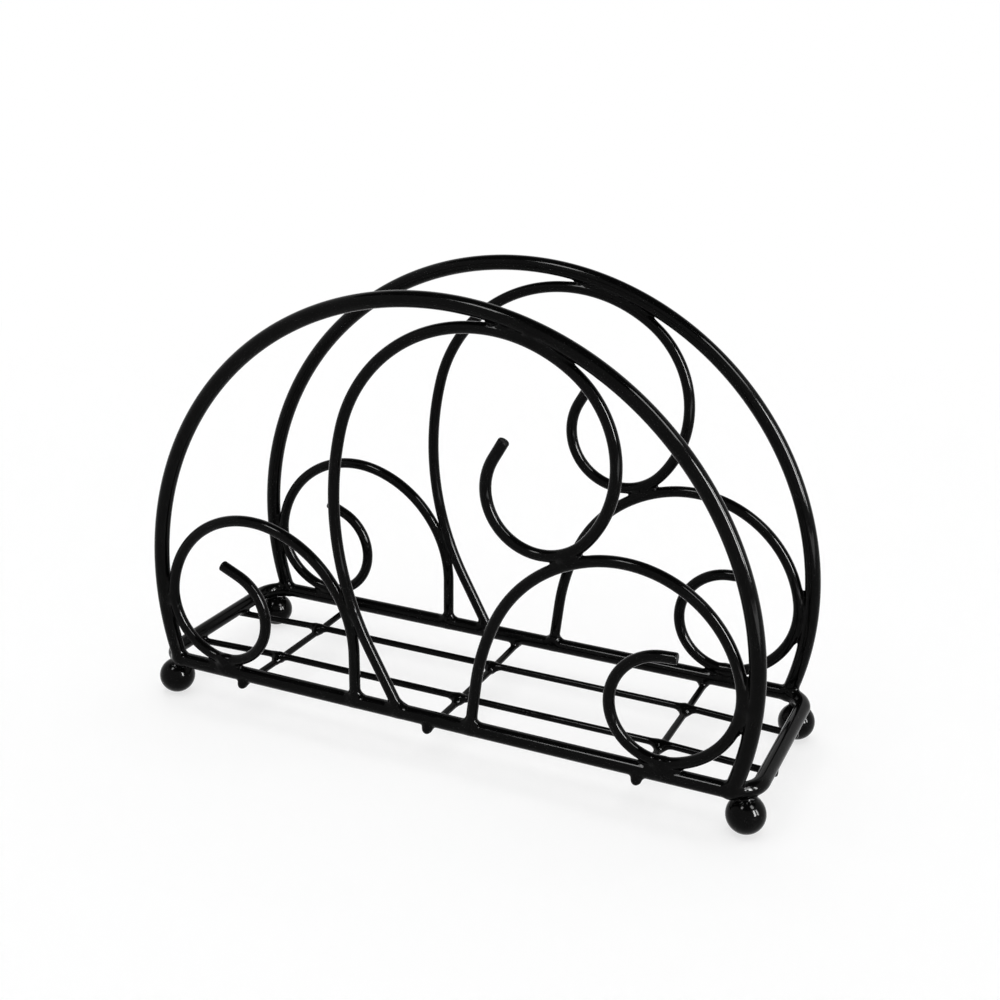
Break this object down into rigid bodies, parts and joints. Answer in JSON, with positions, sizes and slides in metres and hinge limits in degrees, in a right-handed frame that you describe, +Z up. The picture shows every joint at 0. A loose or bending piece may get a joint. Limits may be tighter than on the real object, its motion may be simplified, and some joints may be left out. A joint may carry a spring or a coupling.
{
  "type": "napkin holder",
  "caption": "Upright wire napkin holder: arched scrollwork panels stand on a ball-footed base frame, and folded napkins stand between them.",
  "frame": {"origin": "centre of the footprint, on the table that the ball feet stand on", "axes": "+X along the panels, +Y from the front panel to the rear panel, +Z up"},
  "size_m": [0.1888, 0.0652, 0.1325],
  "materials": {
    "black_coat": "smooth glossy black coat over steel wire"
  },
  "bodies": {
    "root": {"base_frame": "black_coat", "left_cross_wire": "black_coat", "middle_cross_wire": "black_coat", "right_cross_wire": "black_coat", "front_long_wire": "black_coat", "rear_long_wire": "black_coat", "front_left_foot": "black_coat", "front_right_foot": "black_coat", "rear_left_foot": "black_coat", "rear_right_foot": "black_coat", "front_arch": "black_coat", "front_left_scroll": "black_coat", "front_centre_scroll": "black_coat", "front_right_scroll": "black_coat", "rear_arch": "black_coat", "rear_left_scroll": "black_coat", "rear_centre_scroll": "black_coat", "rear_right_scroll": "black_coat"}
  },
  "joints": []
}
